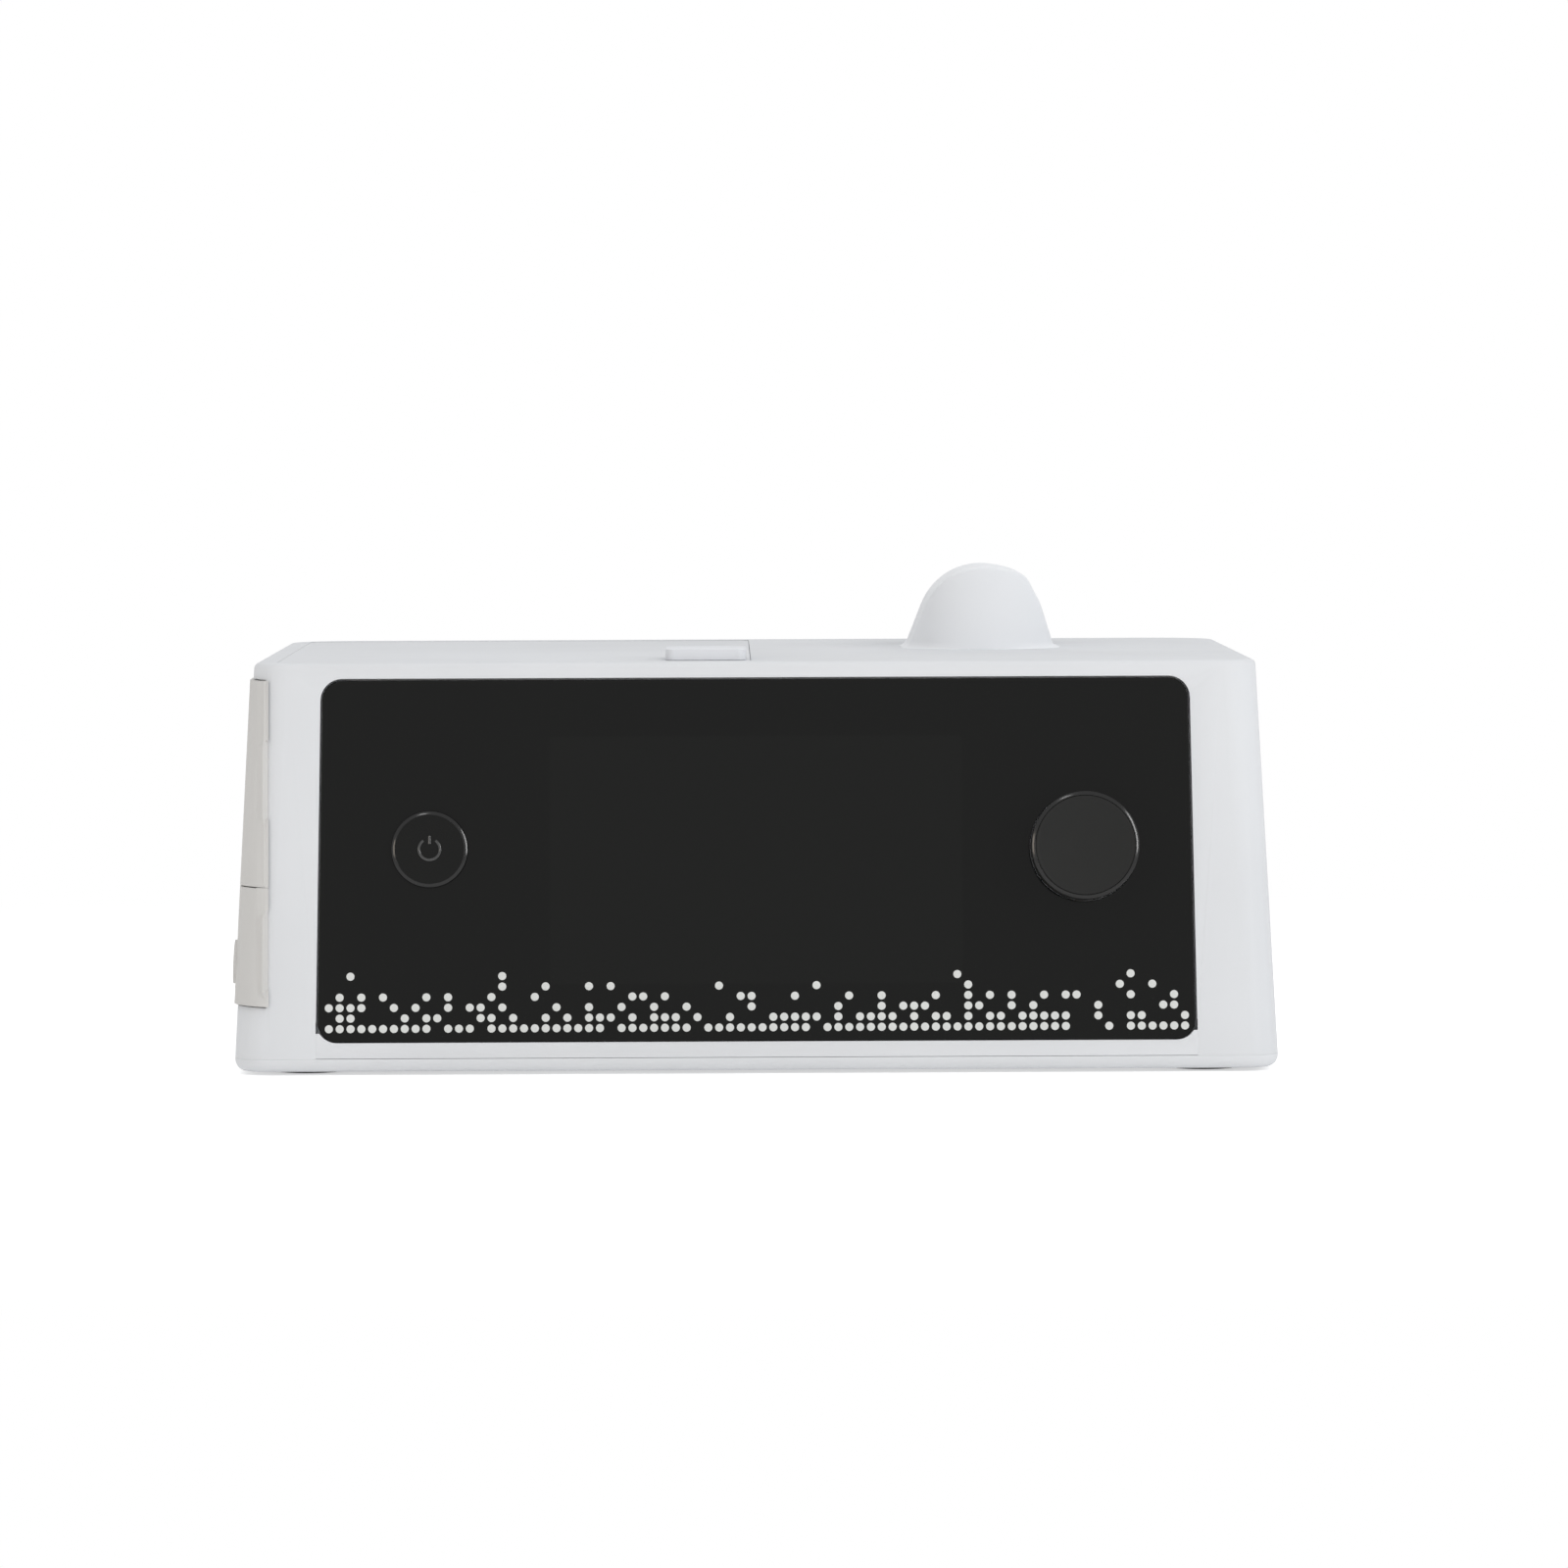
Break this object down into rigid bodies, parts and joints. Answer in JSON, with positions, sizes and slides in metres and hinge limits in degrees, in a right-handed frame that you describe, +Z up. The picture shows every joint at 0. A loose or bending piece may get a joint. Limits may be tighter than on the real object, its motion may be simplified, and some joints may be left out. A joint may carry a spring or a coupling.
{
  "type": "bilevel pap machine",
  "caption": "Bedside breathing machine with a dark screen, turning knob, power button, flip-up humidifier lid and hose port.",
  "frame": {"origin": "middle of the case on the table, under the centre of its bounding box", "axes": "+X to the right as seen from the front, -Y towards the user, +Z up from the table"},
  "size_m": [0.2376, 0.1962, 0.113],
  "materials": {
    "white_case": "fine satin moulding",
    "white_door": "satin",
    "black_lens": "polished acrylic, white printed dots",
    "lcd": "dark glass",
    "knob": "satin dark grey",
    "button": "glossy black",
    "rubber": "matt",
    "silicone": "grey silicone",
    "grey_plastic": "matt",
    "clear_plastic": "clear polycarbonate",
    "steel": "brushed",
    "aluminium": "brushed",
    "circuit_board": "solder mask",
    "black_plastic": "matt",
    "foam": "open foam"
  },
  "bodies": {
    "case": {"base_tray": "white_case", "main_housing": "white_case", "front_fascia": "white_case", "rubber_feet": "rubber", "case_screws": "steel", "front_lens": "black_lens", "lcd_module": "lcd", "display_board": "circuit_board", "board_screws": "steel", "display_ribbon": "grey_plastic", "power_switch": "black_plastic", "encoder_body": "steel", "lid_hinge_pin": "steel", "bay_liner": "grey_plastic", "water_chamber": "clear_plastic", "chamber_cover": "clear_plastic", "chamber_seal": "silicone", "chamber_base_plate": "steel", "heater_plate": "aluminium", "port_couplings": "silicone", "flap_hinge_pin": "steel", "filter_box": "grey_plastic", "air_filter": "foam", "port_board": "circuit_board", "card_socket": "steel", "memory_card": "black_plastic", "usb_socket": "steel", "inlet_duct": "grey_plastic", "blower_base": "grey_plastic", "blower_top": "grey_plastic", "motor_can": "aluminium", "motor_bearings": "steel", "blower_mounts": "rubber", "blower_duct": "grey_plastic", "outlet_duct": "grey_plastic", "flow_sensor": "circuit_board", "outlet_cowl": "white_case", "outlet_port": "white_door", "port_seal": "silicone", "main_board": "circuit_board", "dc_inlet": "black_plastic", "service_port": "black_plastic", "speaker": "black_plastic"},
    "lid": {"humidifier_lid": "white_case", "lid_seal": "silicone", "latch_spring": "steel"},
    "latch": {"lid_latch": "white_door"},
    "knob_carrier": {"encoder_sleeve": "grey_plastic"},
    "knob": {"knob_cap": "knob", "encoder_shaft": "aluminium"},
    "button": {"power_button": "button", "switch_stem": "black_plastic"},
    "filter_door": {"filter_cover": "white_door"},
    "socket_door": {"port_door": "white_door"},
    "rotor": {"impeller": "black_plastic", "rotor_shaft": "steel"}
  },
  "joints": [
    {"name": "lid_hinge", "type": "hinge", "parent": "case", "child": "lid", "pos_m": [-0.055, 0.0802, 0.0897], "axis": [-1, 0, 0], "range_deg": [0, 95]},
    {"name": "latch_slide", "type": "slide", "parent": "lid", "child": "latch", "axis": [0, 1, 0], "range_m": [0, 0.003], "stiffness_N_per_m": 300, "springref_m": -0.002, "deforming": ["latch_spring"]},
    {"name": "knob_press", "type": "slide", "parent": "case", "child": "knob_carrier", "axis": [0, 0.995, -0.0995], "range_m": [0, 0.0008], "stiffness_N_per_m": 1500, "springref_m": -0.0015},
    {"name": "knob_turn", "type": "hinge", "parent": "knob_carrier", "child": "knob", "pos_m": [0.0744, -0.0899, 0.05105], "axis": [0, -0.995, 0.0995], "continuous": true},
    {"name": "power_press", "type": "slide", "parent": "case", "child": "button", "axis": [0, 0.995, -0.0995], "range_m": [0, 0.0006], "stiffness_N_per_m": 1200, "springref_m": -0.0015},
    {"name": "filter_cover_hinge", "type": "hinge", "parent": "case", "child": "filter_door", "pos_m": [-0.1151, 0.0241, 0.04988], "axis": [-0.0499, 0, -0.9988], "range_deg": [0, 75]},
    {"name": "port_door_hinge", "type": "hinge", "parent": "case", "child": "socket_door", "pos_m": [-0.1151, 0.0241, 0.04988], "axis": [-0.0499, 0, -0.9988], "range_deg": [0, 75]},
    {"name": "impeller_spin", "type": "hinge", "parent": "case", "child": "rotor", "pos_m": [0.054, 0.012, 0.04], "axis": [0, 0, 1], "continuous": true}
  ]
}
